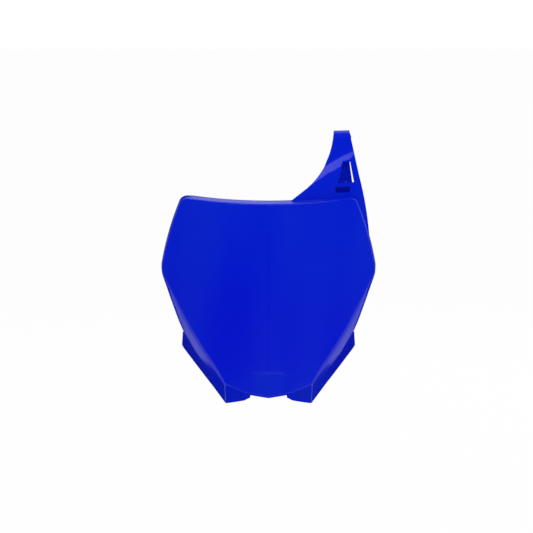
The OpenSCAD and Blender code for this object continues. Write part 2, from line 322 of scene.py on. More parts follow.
def bent(lean, rear, knee, soft, depth):
    """The sideways move of a wall whose lean changes softly at a knee."""
    if depth <= knee - soft:
        return lean * depth
    if depth < knee + soft:
        return lean * depth + (rear - lean) * (depth - knee + soft) ** 2 / (4 * soft)
    return lean * knee + rear * (depth - knee)


def side_move(s, depth):
    if s["under"]:
        return s["lean"] * depth
    plain = bent(s["lean"], s["rear"], LIP_DEPTH, SOFT, depth)
    if not s["banded"]:
        return plain
    return mix(plain, bent(BAND_LEAN, s["flat"], s["knee"], s["soft"], depth), s["banded"])


BAND_LEAN = min(s["lean"] for s in stations if s["wing"] and s["share"] < BAND_SHARE + 0.02)
print("the band's lean", round(BAND_LEAN, 2))
for s in stations:
    s["banded"], s["knee"] = 0, LIP_DEPTH
    if s["upper"] or s["under"] or s["wing"] or s["share"] <= BAND_TOP:
        continue
    rim = side_move(s, LIP_DEPTH)
    s["banded"] = smooth_step(s["share"], BAND_TOP, BAND_FULL)
    s["flat"] = mix(min(FLAT_LEAN, 0.5 * rim / LIP_DEPTH), WING_LEAN,
                    near_wing(s["share"], FLAT_RUN))
    s["soft"] = mix(UPPER_SOFT, SOFT, near_wing(s["share"], SOFT_RUN))
    low, high = UPPER_SOFT, LIP_DEPTH
    for _ in range(HALVINGS):
        s["knee"] = (low + high) / 2
        if bent(BAND_LEAN, s["flat"], s["knee"], s["soft"], LIP_DEPTH) < rim:
            low = s["knee"]
        else:
            high = s["knee"]


def wall_at(s, depth):
    """The wall's place at a depth behind the crease, in the board's millimetres."""
    p, n = s["place"], s["normal"]
    if s["under"]:
        q = p + Vector((0, FOOT_LEAN * depth / n.y))
    elif s["foot"]:
        na = outward(WIDE_CORNER, FOOT_CORNER)
        nb = outward(FOOT_CORNER, KINK)
        da, db = side_move(s, depth), FOOT_LEAN * depth
        turn = na.x * nb.y - na.y * nb.x
        q = Vector((abs(p.x) + (da * nb.y - db * na.y) / turn,
                    p.y + (db * na.x - da * nb.x) / turn))
        if p.x < 0:
            q.x = -q.x
    else:
        q = p + n * side_move(s, depth)
    return Vector((q.x, bow(p.x) + depth, q.y))


FOOT_TIP_Y = 26
# The rims' inner edges lie a little further back than this.
REAR_Y = 56.8
foot_station = [s for s in stations if s["foot"] and s["place"].x > 0][0]
ridge_end = wall_at(foot_station, FOOT_TIP_Y - bow(FOOT_CORNER.x))
print("foot tip at", [round(v, 1) for v in ridge_end])
WING_CUT = [(25.8, 44.5), (57.8, 21.3), (FOOT_TIP_Y, ridge_end.z)]
PROBE = 10
CUT_SLACK = 0.02


def wing_depth(s):
    """How deep the wing goes at a station: up to its slanting rear edge."""
    start = LIP_DEPTH + SOFT
    a, b = wall_at(s, start), wall_at(s, start + PROBE)
    dy, dz = b.y - a.y, b.z - a.z
    hits = []
    for (y0, z0), (y1, z1) in zip(WING_CUT, WING_CUT[1:]):
        cross = dy * (z1 - z0) - dz * (y1 - y0)
        along_cut = ((y0 - a.y) * dz - (z0 - a.z) * dy) / cross
        if -CUT_SLACK <= along_cut <= 1 + CUT_SLACK:
            hits.append(((y0 - a.y) * (z1 - z0) - (z0 - a.z) * (y1 - y0)) / cross)
    return min(start + PROBE * min(hits, default=0), REAR_Y - bow(s["place"].x))


NOTCH_DEPTH = 1.6
NOTCH_SIDE_Y = 5.8


def lip_end(s):
    """How deep the first wall goes at a station."""
    x = abs(s["place"].x)
    if s["foot"]:
        return FOOT_TIP_Y - bow(x)
    if not s["under"]:
        return LIP_DEPTH
    if x < NOTCH_HALF:
        return NOTCH_DEPTH
    out = (x - NOTCH_HALF) / (ridge_end.x - NOTCH_HALF)
    return mix(NOTCH_SIDE_Y, FOOT_TIP_Y, out) - bow(x)


CREASE, BROAD_CREASE = 1.5, 3
BROAD_FROM, BROAD_FULL = 0.08, 0.38
FOOT_NEAR, FOOT_LESS = 0.85, 0.7


def crease_size(s):
    """The length of the crease's rounding: broad along the bands, and never past the knee."""
    broad = smooth_step(s["share"], BROAD_FROM, BROAD_FULL)
    broad *= 1 - FOOT_LESS * smooth_step(s["share"], FOOT_NEAR, 1)
    return min(mix(CREASE, BROAD_CREASE, broad), s["end"] * 0.45,
               mix(BROAD_CREASE, s["knee"] * 0.39, s["banded"]))


for s in stations:
    s["end"] = lip_end(s)
    s["last"] = wing_depth(s) if s["wing"] and not s["foot"] else s["end"]
    if s["wing"]:
        fade = BAND_FADE * ((s["share"] - BAND_SHARE) / (1 - BAND_SHARE)) ** 2
        s["lean"] -= fade / LIP_DEPTH
        s["rear"] += fade / (s["last"] - LIP_DEPTH)
    s["crease"] = crease_size(s)
print("deepest wing", round(max(s["last"] for s in stations), 1), "mm behind its crease")

# %% [markdown]
# ## The field
# The field is a plain sheet with a bow of 340 mm radius. A grid with a single row is the
# simplest start: each column is one upright strip, whose two ends go on the outline. Because
# the bow's axis is upright, such strips lie exactly on it, and a glossy reflection runs over
# them without a ripple. The outline is drawn in from the crease, to leave room for the crease's
# rounding, which is 1.5 mm nearly all round and grows to 3 mm along the bands.

# %% Field
nothing_selected()
bpy.ops.mesh.primitive_grid_add(x_subdivisions=len(columns) - 1, y_subdivisions=1, size=0.2)
shell = named("board_shell")
tag = shell.data.attributes.new("station", "INT", "POINT")


def crease_arc(s, t):
    """The crease's rounding: t from 0 on the field to 1 on the wall."""
    p, n = s["place"], s["normal"]
    corner = Vector((p.x, bow(p.x), p.y))
    slope = p.x / sqrt(BOW_R ** 2 - p.x ** 2)
    inward = Vector((-n.x, -n.x * slope, -n.y)).normalized()
    back = wall_at(s, 1) - corner
    return corner + (inward * (1 - t) ** 2 + back.normalized() * t ** 2) * s["crease"]


for number, index in enumerate(grid_order(shell)):
    shell.data.vertices[index].co = metres(*crease_arc(stations[number], 0))
    tag.data[index].value = number
measure(shell)

# %% [markdown]
# ## The lip and the bands
# The lip is grown from the field's rim, as a modeller does: the rim's edges are extruded, and
# the new rim is put in its place, ring after ring. Four rings make the rounded crease, and the
# rest make the wall. Each point remembers its station's number, so the new ring knows where
# it belongs.

# %% Grow the lip
BEND_SHARE = 0.66


def everywhere(s):
    return True


def grow_rim(piece, place, chosen=everywhere):
    """Extrudes the open edges between the chosen stations and puts the new ring in place."""
    mesh = open_mesh(piece, "EDGE")
    number = mesh.verts.layers.int["station"]
    for edge in mesh.edges:
        if len(edge.link_faces) == 1 and all(chosen(stations[v[number]]) for v in edge.verts):
            edge.select_set(True)
    bmesh.update_edit_mesh(piece.data)
    bpy.ops.mesh.extrude_edges_move()
    mesh = bmesh.from_edit_mesh(piece.data)
    number = mesh.verts.layers.int["station"]
    for v in mesh.verts:
        if v.select:
            v.co = metres(*place(stations[v[number]]))
    bmesh.update_edit_mesh(piece.data)
    bpy.ops.object.mode_set(mode="OBJECT")


def ring_depth(s, share):
    """The rings crowd where the wall bends: near the end, or on the band at its knee."""
    if not s["banded"]:
        return s["end"] * share
    past = (max(0, share - BEND_SHARE) / (1 - BEND_SHARE)) ** (LIP_DEPTH / s["knee"])
    bending = mix(s["knee"] * min(share, BEND_SHARE), LIP_DEPTH, past)
    return mix(s["end"] * share, bending, s["banded"])


for t in (0.25, 0.5, 0.75, 1):
    grow_rim(shell, lambda s: crease_arc(s, t))
for share in (0.35, BEND_SHARE, 0.8, 0.9, 1):
    grow_rim(shell, lambda s: wall_at(s, ring_depth(s, share)))
measure(shell)

# %% [markdown]
# ## The wings
# Below the widest corners the wall goes on behind the facet, out to the rearmost corner and
# down to the foot's tip. Only the rim's edges at those stations are extruded again. The last
# ring follows the slanting rear edge, which seen from the side is two straight cuts.

# %% Grow the wings
def on_wing(s):
    return s["wing"]


for share in (0.12, 0.25, 0.45, 0.7, 1):
    grow_rim(shell, lambda s: wall_at(s, mix(s["end"], s["last"], share)), on_wing)
measure(shell)

# %% [markdown]
# ## The wall's thickness
# Until now the shell is a sheet without thickness. A bevel rounds the ridge at each foot, then
# Solidify adds the moulding's 2.5 mm on the inner side, and a small bevel softens the rims. The
# faces have to point outwards first, or the wall would grow the wrong way.

# %% Give the shell its wall
def face_outwards(piece, looks_out):
    """Joins double points and turns every face outwards; looks_out tests the largest one."""
    make_active(piece)
    bpy.ops.object.mode_set(mode="EDIT")
    bpy.ops.mesh.select_all(action="SELECT")
    bpy.ops.mesh.remove_doubles(threshold=1e-6)
    bpy.ops.mesh.normals_make_consistent(inside=False)
    mesh = bmesh.from_edit_mesh(piece.data)
    mesh.faces.ensure_lookup_table()
    if not looks_out(max(mesh.faces, key=lambda f: f.calc_area()).normal):
        bpy.ops.mesh.flip_normals()
    bpy.ops.object.mode_set(mode="OBJECT")


def soften(piece, width, segments=2):
    """Bevels the sharp edges and shades the rest smooth; the width is in metres."""
    finish_modifier(piece, "BEVEL", width=width, segments=segments, limit_method="ANGLE",
                    angle_limit=radians(40), use_clamp_overlap=True, miter_outer="MITER_ARC")
    make_active(piece)
    bpy.ops.object.shade_smooth_by_angle(angle=radians(32))


RIDGE_BEVEL, RIM_BEVEL = 0.0014, 0.0004
face_outwards(shell, lambda n: n.y < 0)
weights = shell.data.attributes.new("bevel_weight_edge", "FLOAT", "EDGE")
number_of = shell.data.attributes["station"].data
for edge in shell.data.edges:
    if all(stations[number_of[v].value]["foot"] for v in edge.vertices):
        weights.data[edge.index].value = 1
finish_modifier(shell, "BEVEL", width=RIDGE_BEVEL, segments=4, limit_method="WEIGHT")
finish_modifier(shell, "SOLIDIFY", thickness=WALL / 1000, offset=-1, use_even_offset=True,
                use_quality_normals=True)
soften(shell, RIM_BEVEL)
measure(shell)

# %% [markdown]
# ## The arm
# The arm rises behind the right half of the top lip. Seen from the front it is a patch between
# four curves: the root along the lip, the concave left edge, the long right edge and the
# strap's top. Its window and slot are easiest when rows and columns already run along their
# edges: then the holes are simply faces that are deleted.

# %% Arm outline
BAR_Z, BAR_R = 264.7, 6.5
BEND_R = BAR_R + WALL
STRAP_X, STRAP_TURN = 83, radians(14)
ARM_BACK = 9
STRAP_Y = ARM_BACK + bow(STRAP_X) + 5
ARM_TOP = BAR_Z + BEND_R


# The concave left edge is an arc that ends in a straight piece; the right edge is a long arc
# and then a straight line up to the strap's corner.
STRAP_LEFT, STRAP_RIGHT = 74.2, 91.8
HOLLOW_R, HOLLOW_Z = 85, 275.7
STRAIGHT_TOP, STRAIGHT_SLOPE = 210, 1.24
EDGE_R, EDGE_X, EDGE_Z, EDGE_TOP = 400, 116.4, 120.5, 223.5


def arm_left(z):
    if z < STRAIGHT_TOP:
        return arm_left(STRAIGHT_TOP) - STRAIGHT_SLOPE * (STRAIGHT_TOP - z)
    return STRAP_LEFT - HOLLOW_R + sqrt(HOLLOW_R ** 2 - (z - HOLLOW_Z) ** 2)


def arm_right(z):
    if z <= EDGE_TOP:
        return EDGE_X - EDGE_R + sqrt(EDGE_R ** 2 - (z - EDGE_Z) ** 2)
    return mix(arm_right(EDGE_TOP), STRAP_RIGHT, (z - EDGE_TOP) / (ARM_TOP - EDGE_TOP))


ROOT_LEFT_X, ROOT_LOW_Z = 23, 124
ROOT_INSET = 0.6
root_chain = [p for p in upper_chain if p.x > ROOT_LEFT_X]
while root_chain[-1].y < ROOT_LOW_Z:
    root_chain.pop()
root_lengths = [0]
for a, b in zip(root_chain, root_chain[1:]):
    root_lengths.append(root_lengths[-1] + (b - a).length)


def length_at(x):
    """How far along the root the top edge reaches x."""
    return next(length for p, length in zip(root_chain, root_lengths) if p.x >= x)


def root(want):
    """The arm's root at a length along it, just inside the field's outline."""
    for i in range(1, len(root_chain)):
        if root_lengths[i] >= want - TINY:
            a, b = root_chain[i - 1], root_chain[i]
            t = (want - root_lengths[i - 1]) / (root_lengths[i] - root_lengths[i - 1])
            return a.lerp(b, t) - outward(a, b) * ROOT_INSET
    return root_chain[-1]


# Each stop is a height with x of the columns at both sides of the holes there: the slot's top,
# the window's foot, the window's top and the bar.
SLOT_LEFT, SLOT_RIGHT = 75.75, 92.85
SLOT_LOW, SLOT_HIGH, WINDOW_LOW, WINDOW_HIGH = 204.3, 211.3, 215.6, 239.3
HOLE_STOPS = [(SLOT_HIGH, SLOT_LEFT, SLOT_RIGHT), (WINDOW_LOW, 79.2, 97.8),
              (WINDOW_HIGH, 84.5, 93.3), (BAR_Z, 81.5, 88.5)]
SLOT_ROWS, RUNG_ROWS, WINDOW_ROWS, STRAP_ROWS = 3, 2, 12, 13
ROW_Z = [SLOT_LOW, 206.6, 209, SLOT_HIGH, 213.4, WINDOW_LOW]
ROW_Z += [mix(WINDOW_LOW, WINDOW_HIGH, i / WINDOW_ROWS) for i in range(1, WINDOW_ROWS + 1)]
ROW_Z += [mix(WINDOW_HIGH, BAR_Z, i / STRAP_ROWS) for i in range(1, STRAP_ROWS + 1)]
ROOT_ROWS = 12
LEFT_COLUMNS, HOLE_COLUMNS, RIGHT_COLUMNS = 14, 9, 12
ACROSS = LEFT_COLUMNS + HOLE_COLUMNS + RIGHT_COLUMNS


def hole_sides(z):
    """Where the columns beside the window and the slot run at a height."""
    z = max(z, SLOT_HIGH)
    below = sum(z > stop[0] for stop in HOLE_STOPS[1:-1])
    low, high = HOLE_STOPS[below], HOLE_STOPS[below + 1]
    t = (z - low[0]) / (high[0] - low[0])
    return [mix(a, b, t) for a, b in zip(low[1:], high[1:])]


def spread(c, stops):
    """Column c's value between four stops: left edge, both sides of the holes, right edge."""
    if c <= LEFT_COLUMNS:
        return mix(stops[0], stops[1], c / LEFT_COLUMNS)
    if c <= LEFT_COLUMNS + HOLE_COLUMNS:
        return mix(stops[1], stops[2], (c - LEFT_COLUMNS) / HOLE_COLUMNS)
    return mix(stops[2], stops[3], (c - LEFT_COLUMNS - HOLE_COLUMNS) / RIGHT_COLUMNS)


def across(z, c):
    """x of column c at a height."""
    return spread(c, (arm_left(z), *hole_sides(z), arm_right(z)))


ROOT_STOPS = (0, length_at(SLOT_LEFT), length_at(SLOT_RIGHT), root_lengths[-1])


def arm_point(row, c):
    """x and z of a grid point of the arm; the first rows fan out from the root."""
    if row >= ROOT_ROWS:
        z = ROW_Z[row - ROOT_ROWS]
        return Vector((across(z, c), z))
    v = row / ROOT_ROWS
    first, last = root(ROOT_STOPS[0]), root(ROOT_STOPS[3])
    p = root(spread(c, ROOT_STOPS)).lerp(Vector((across(ROW_Z[0], c), ROW_Z[0])), v)
    zl, zr = mix(first.y, ROW_Z[0], v), mix(last.y, ROW_Z[0], v)
    left_fix = arm_left(zl) - mix(first.x, arm_left(ROW_Z[0]), v)
    right_fix = arm_right(zr) - mix(last.x, arm_right(ROW_Z[0]), v)
    share = c / ACROSS
    p.x += (left_fix * (1 - share) ** 3 + right_fix * share ** 3) * min(1, 4 * v)
    return p


# %% [markdown]
# ## The joggle
# The arm's panel follows the field's bow, 9 mm behind it. Higher up it steps back to the strap.
# The step starts at a slanting fold and runs out softly below it, in a short way at the left
# and a long one at the right, so it catches the light as a wedge. The depth is worked out at
# every grid point.

# %% Arm depth
FOLD_Z, FOLD_RISE, FOLD_SOFT = 244.6, 0.75, 7
SHORT_RUN, LONG_RUN = 8, 24
SHORT_RUN_X, RUN_WIDTH = 67, 31


def soft_max(a, b, r):
    """The larger of two values, rounded where they cross."""
    h = max(r - abs(a - b), 0) / r
    return max(a, b) + h * h * r / 4


def strap_plane(x, back=0):
    """y of a plane that lies along the strap, moved back by so much."""
    return STRAP_Y + (back + (x - STRAP_X) * sin(STRAP_TURN)) / cos(STRAP_TURN)


def arm_y(x, z):
    panel = ARM_BACK + bow(x)
    below = soft_max(0, FOLD_Z + FOLD_RISE * (x - STRAP_X) - z, FOLD_SOFT)
    run_out = mix(SHORT_RUN, LONG_RUN, clamped((x - SHORT_RUN_X) / RUN_WIDTH))
    return panel + (strap_plane(x) - panel) * max(0, 1 - below / run_out) ** 2


nothing_selected()
rows = ROOT_ROWS + len(ROW_Z)
bpy.ops.mesh.primitive_grid_add(x_subdivisions=ACROSS, y_subdivisions=rows - 1, size=0.2)
arm = named("arm_and_strap")
grid_place = {index: divmod(number, ACROSS + 1) for number, index in enumerate(grid_order(arm))}
for index, (row, c) in grid_place.items():
    p = arm_point(row, c)
    arm.data.vertices[index].co = metres(p.x, arm_y(p.x, p.y), p.y)
measure(arm)

# %% Cut the window and the slot
WINDOW_ROW = SLOT_ROWS + RUNG_ROWS
mesh = open_mesh(arm, "FACE")
for face in mesh.faces:
    row = min(grid_place[v.index][0] for v in face.verts) - ROOT_ROWS
    c = min(grid_place[v.index][1] for v in face.verts)
    in_slot = 0 <= row < SLOT_ROWS
    in_window = WINDOW_ROW <= row < WINDOW_ROW + WINDOW_ROWS
    if LEFT_COLUMNS <= c < LEFT_COLUMNS + HOLE_COLUMNS and (in_slot or in_window):
        face.select_set(True)
bmesh.update_edit_mesh(arm.data)
bpy.ops.mesh.delete(type="FACE")
bpy.ops.object.mode_set(mode="OBJECT")
measure(arm)

# %% [markdown]
# ## The strap over the bar
# The strap turns over a 13 mm bar. Spin is the tool for that: it carries the top edge round
# the bar's axis in small steps. The tail is then extruded down from the last step, towards the
# front behind the window, and flares a little at its end.

# %% Spin the strap
SPIN_STEPS = 16
NEAR = 0.01
axis = Vector((cos(STRAP_TURN), sin(STRAP_TURN), 0))
bar = metres(STRAP_X, strap_plane(STRAP_X, BEND_R), BAR_Z)
mesh = open_mesh(arm, "EDGE")
for edge in mesh.edges:
    if len(edge.link_faces) == 1 and all(abs(v.co.z * 1000 - BAR_Z) < NEAR for v in edge.verts):
        edge.select_set(True)
bmesh.update_edit_mesh(arm.data)
bpy.ops.mesh.spin(steps=SPIN_STEPS, angle=pi, center=bar, axis=axis)
mesh = bmesh.from_edit_mesh(arm.data)
high = max(v.co.z for v in mesh.verts) * 1000
print("top of the strap", round(high, 1), "should be", ARM_TOP)


def behind_front(v):
    """How far a point lies behind the strap's front plane, square to it."""
    x, y = v.co.x * 1000, v.co.y * 1000 + BOLT_BACK
    return (y - STRAP_Y) * cos(STRAP_TURN) - (x - STRAP_X) * sin(STRAP_TURN)


def place_across(ring, left, right, back, z):
    """Spreads a ring of the strap evenly between its two edges."""
    for i, v in enumerate(sorted(ring, key=lambda v: v.co.x)):
        x = mix(left, right, i / (len(ring) - 1))
        v.co = metres(x, strap_plane(x, back), z)


bend = [v for v in mesh.verts if v.co.z * 1000 > BAR_Z - NEAR and behind_front(v) > NEAR]
for back in sorted({round(behind_front(v), 2) for v in bend}):
    ring = [v for v in bend if abs(behind_front(v) - back) < 2 * NEAR]
    z = min(ring, key=lambda v: v.co.x).co.z * 1000
    place_across(ring, arm_left(z), arm_right(z), back, z)
bmesh.update_edit_mesh(arm.data)

# The tail's heights, the height where it starts to flare, and where it comes forward.
TAIL_Z = [260, 256, 252, 248, 244, 240, 236, 232, 229, 224, 218, 211, 204, 198, 194]
FLARE_Z, FLARE_RIGHT = 235, 97.8
FORWARD_TOP, FORWARD_END, FORWARD = 256, 229, 8


def tail_right(z):
    flare = (FLARE_Z - z) / (FLARE_Z - TAIL_Z[-1])
    return mix(STRAP_RIGHT, FLARE_RIGHT, max(0, flare))


def tail_back(z):
    """How far the tail's rear face lies behind the strap's front."""
    return 2 * BEND_R - FORWARD * smooth_step(z, FORWARD_TOP, FORWARD_END)


for z in TAIL_Z:
    bpy.ops.mesh.extrude_edges_move()
    mesh = bmesh.from_edit_mesh(arm.data)
    place_across([v for v in mesh.verts if v.select], STRAP_LEFT, tail_right(z), tail_back(z), z)
bmesh.update_edit_mesh(arm.data)
bpy.ops.object.mode_set(mode="OBJECT")
face_outwards(arm, lambda n: n.y < 0)
finish_modifier(arm, "SOLIDIFY", thickness=WALL / 1000, offset=-1)
soften(arm, RIM_BEVEL)
measure(arm)

# %% [markdown]
# ## The tooth
# Behind the window the tail carries a tooth with a flat upper face. It is a block whose lower
# face slants, as on a catch that slides in one way and holds the other.

# %% Tooth
TOOTH_X, TOOTH_W, TOOTH_Z = 85.2, 9, 218
LET_IN, TOOTH_OUT = 0.5, 4.5
TOOTH_H, NOSE_DROP, NOSE_LOW = 7, 1.2, 2.4
nothing_selected()
bpy.ops.mesh.primitive_cube_add(size=1)
tooth = named("tail_tooth")
tail_front = tail_back(TOOTH_Z) - WALL
for v in tooth.data.vertices:
    x = TOOTH_X + v.co.x * TOOTH_W
    if v.co.y > 0:
        back, high, low = tail_front + LET_IN, TOOTH_Z, TOOTH_Z - TOOTH_H
    else:
        back, high, low = tail_front - TOOTH_OUT, TOOTH_Z - NOSE_DROP, TOOTH_Z - NOSE_LOW
    v.co = metres(x, strap_plane(x, back), high if v.co.z > 0 else low)
face_outwards(tooth, lambda n: True)
soften(tooth, RIM_BEVEL, segments=3)
measure(tooth)

# %% [markdown]
# ## The tab and the rib
# Low on the back a tab takes the mounting bolt. Its two webs and the upright rib stiffen the
# field; on the front they show only as faint sink marks. The tab is a plate with a round
# boss. Boolean modifiers join them and cut the bolt's hole.

# %% Tab, webs and rib
BOSS_R, BOLT_R, TAB_T, TAB_W = 9.75, 3.25, 4, 34
WEB_IN, WEB_H, WEB_TOP_Y, WEB_FOOT_Y = 2, 12, 15.5, 2.25
RIB_H, RIB_FOOT, RIB_TOP = 170, 5, 0.2
TAB_BEVEL = 0.0003
HIDDEN_Y = WALL / 2


def join_shapes(piece, other, how):
    finish_modifier(piece, "BOOLEAN", operation=how, object=other, solver="EXACT")
    bpy.data.objects.remove(other)


def block(name, corners):
    """A cube primitive with its eight corners moved: corners(sx, sy, sz) gives each."""
    nothing_selected()
    bpy.ops.mesh.primitive_cube_add(size=2)
    piece = named(name)
    for v in piece.data.vertices:
        v.co = metres(*corners(round(v.co.x), round(v.co.y), round(v.co.z)))
    return piece


def round_bar(name, r, height):
    """An upright cylinder on the bolt's axis."""
    nothing_selected()
    bpy.ops.mesh.primitive_cylinder_add(vertices=64, radius=r / 1000, depth=height / 1000,
                                        location=metres(0, BOLT_BACK, 0))
    bpy.ops.object.transform_apply(location=True, rotation=True, scale=True)
    return named(name)


# The tab, the webs and the rib start inside the field's wall. Webs and rib are 2 mm thick.
tab = block("tab_and_rib", lambda sx, sy, sz: (
    sx * (BOSS_R if sy > 0 else TAB_W / 2), BOLT_BACK if sy > 0 else HIDDEN_Y, sz * TAB_T / 2))
join_shapes(tab, round_bar("boss", BOSS_R, TAB_T), "UNION")
for side_sign in (-1, 1):
    web = block("web", lambda sx, sy, sz: (
        side_sign * (TAB_W / 2 - WEB_IN) + sx,
        (WEB_TOP_Y if sz > 0 else WEB_FOOT_Y) if sy > 0 else HIDDEN_Y,
        0 if sz > 0 else -WEB_H))
    join_shapes(tab, web, "UNION")
rib = block("rib", lambda sx, sy, sz: (
    sx, WALL + (RIB_FOOT if sz < 0 else RIB_TOP) if sy > 0 else HIDDEN_Y, 0 if sz < 0 else RIB_H))
join_shapes(tab, rib, "UNION")
join_shapes(tab, round_bar("bolt_hole", BOLT_R, 3 * TAB_T), "DIFFERENCE")
soften(tab, TAB_BEVEL)
measure(tab)

# %% [markdown]
# ## The plastic
# The board is moulded in one deep blue plastic. Such a plastic isn't evenly glossy: the skin
# has a very fine waviness, and the gloss and the depth of the colour vary in soft upright
# streaks where the plastic flowed down from the top. Light is painted into the colour as well:
# it grows paler towards the top and towards the bottom of the board. Thick places behind the
# field show as sink marks: the rib as one fine line, and the tab as a shallow patch under a
# level edge. Both sink a little, and their light is painted too: painted shade darkens the
# rib's line, and painted light makes the tab's patch paler. All of it is made from Object
# coordinates, so it stays on the part from every side.

# %% Plastic
# The colour is mixed between these two blues by random streaks and by painted light and shade.
PALE_BLUE = (0.0003, 0.0135, 0.54)
DEEP_BLUE = (0.0002, 0.0055, 0.56)
ROUGHNESS = (0.11, 0.16)
# Each pair below is where a change starts and where it is complete, in metres on one axis.
# HIGH_Z and LOW_Z place painted light: the colour grows paler towards the top and the bottom.
HIGH_Z, LOW_Z = (0.04, 0.2), (0.02, -0.03)
FRONT_Y = (-0.0205, -0.0212)
LINE_X, LINE_FOOT_Z, LINE_TOP_Z = (0.0014, 0.0002), (0.001, 0.004), (0.172, 0.150)
PATCH_X, PATCH_TOP_Z, PATCH_FOOT_Z = (0.024, 0.014), (0.002, -0.003), (-0.022, -0.008)
# How much each of them makes the colour paler: painted light for the top, the bottom and the
# tab's patch, painted shade (a darkening) for the rib's line, random tone for the streaks; and
# how deep the marks sink.
HIGH_PAINTED_LIGHT, LOW_PAINTED_LIGHT, STREAK_TINT, LINE_PAINTED_SHADE, PATCH_PAINTED_LIGHT = 0.55, 0.4, 0.5, -0.45, 0.3
LINE_SINK, PATCH_SINK = 0.00012, 0.0002
GRAIN_HEIGHT, WAVE_HEIGHT = 0.000004, 0.0004


def plastic(name, pale, deep):
    material = bpy.data.materials.new(name)
    material.use_nodes = True
    nodes, links = material.node_tree.nodes, material.node_tree.links
    shader = nodes["Principled BSDF"]
    shader.inputs["IOR"].default_value = 1.49
    shader.inputs["Specular IOR Level"].default_value = 0.35
    place = nodes.new("ShaderNodeTexCoord").outputs["Object"]
    axes = nodes.new("ShaderNodeSeparateXYZ")
    links.new(place, axes.inputs[0])

    def sums(operation, first, second, third=None):
        """A Math node; an input is a socket or a number."""
        node = nodes.new("ShaderNodeMath")
        node.operation = operation
        for socket, value in zip(node.inputs, (first, second, third)):
            if isinstance(value, (int, float)):
                socket.default_value = value
            elif value is not None:
                links.new(value, socket)
        return node.outputs[0]

    def product(first, *others):
        for value in others:
            first = sums("MULTIPLY", first, value)
        return first

    def ramp(value, low, high, out_low=0.0, out_high=1.0):
        """A soft step of a value between two limits."""
        node = nodes.new("ShaderNodeMapRange")
        node.interpolation_type = "SMOOTHSTEP"
        links.new(value, node.inputs["Value"])
        limits = {"From Min": low, "From Max": high, "To Min": out_low, "To Max": out_high}
        for key, number in limits.items():
            node.inputs[key].default_value = number
        return node.outputs["Result"]

    def noise(scale, detail, stretch=(1, 1, 1)):
        """Noise from 0 to 1; a small stretch value draws it out along that axis."""
        mapping = nodes.new("ShaderNodeMapping")
        mapping.inputs["Scale"].default_value = stretch
        links.new(place, mapping.inputs["Vector"])
        node = nodes.new("ShaderNodeTexNoise")
        node.inputs["Scale"].default_value = scale
        node.inputs["Detail"].default_value = detail
        links.new(mapping.outputs["Vector"], node.inputs["Vector"])
        return node.outputs["Fac"]

    streaks = noise(18, 0, (1.6, 1, 0.25))
    links.new(ramp(streaks, 0.2, 0.8, *ROUGHNESS), shader.inputs["Roughness"])

    x, y, z = (axes.outputs[key] for key in "XYZ")
    off_middle = sums("ABSOLUTE", x, 0)
    on_front = ramp(y, *FRONT_Y)
    # line and patch mask the two sink marks. Each drives a shallow dip, and there is also painted
    # shade on the line and painted light on the patch.
    line = product(ramp(off_middle, *LINE_X), ramp(z, *LINE_FOOT_Z), ramp(z, *LINE_TOP_Z),
                   on_front)
    patch = product(ramp(off_middle, *PATCH_X), ramp(z, *PATCH_TOP_Z), ramp(z, *PATCH_FOOT_Z),
                    on_front)
    # Painted light: the colour is paler towards the top and towards the bottom.
    shade = product(ramp(z, *HIGH_Z), HIGH_PAINTED_LIGHT)
    shade = sums("MULTIPLY_ADD", ramp(z, *LOW_Z), LOW_PAINTED_LIGHT, shade)
    shade = sums("MULTIPLY_ADD", ramp(streaks, 0.2, 0.8), STREAK_TINT, shade)
    # Painted shade: the rib's sink line is darker.
    shade = sums("MULTIPLY_ADD", line, LINE_PAINTED_SHADE, shade)
    # Painted light: the tab's sink patch is paler.
    shade = sums("MULTIPLY_ADD", patch, PATCH_PAINTED_LIGHT, shade)
    tint = nodes.new("ShaderNodeMix")
    tint.data_type = "RGBA"
    tint.inputs["A"].default_value = (*deep, 1)
    tint.inputs["B"].default_value = (*pale, 1)
    links.new(shade, tint.inputs["Factor"])
    links.new(tint.outputs["Result"], shader.inputs["Base Color"])

    sink = sums("MULTIPLY_ADD", line, LINE_SINK, product(patch, PATCH_SINK))
    wave = product(noise(26, 1), WAVE_HEIGHT)
    height = sums("MULTIPLY_ADD", noise(900, 2), GRAIN_HEIGHT, wave)
    bump = nodes.new("ShaderNodeBump")
    bump.inputs["Strength"].default_value = 1
    bump.inputs["Distance"].default_value = 1
    links.new(sums("SUBTRACT", height, sink), bump.inputs["Height"])
    links.new(bump.outputs["Normal"], shader.inputs["Normal"])
    return material


PIECES = (shell, arm, tooth, tab)
blue = plastic("blue_plastic", PALE_BLUE, DEEP_BLUE)
for piece in PIECES:
    piece.data.materials.clear()
    piece.data.materials.append(blue)
    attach(piece, "root")
    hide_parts("number_board")
print("pieces", [p.name for p in PIECES])

# %% [markdown]
# ## The floor and the light
# The photograph has a plain white ground. The floor is pale, and for the camera and for
# reflections it is lifted nearly to white, while it still takes the board's soft shadow. It
# ends 7 m behind the board, where the world takes over in nearly the same white.

# %% Floor and world
FLOOR_Z, FLOOR_SIZE = -0.3, 14
FLOOR_LIFT = 0.96
WORLD_LIGHT, WORLD_SEEN = 0.5, 1.0


def seen_directly(nodes, links):
    """1 for camera, glossy and transmission rays."""
    rays = nodes.new("ShaderNodeLightPath")
    seen = rays.outputs["Is Camera Ray"]
    for ray in ("Is Glossy Ray", "Is Transmission Ray"):
        either = nodes.new("ShaderNodeMath")
        either.operation = "MAXIMUM"
        links.new(seen, either.inputs[0])
        links.new(rays.outputs[ray], either.inputs[1])
        seen = either.outputs[0]
    return seen


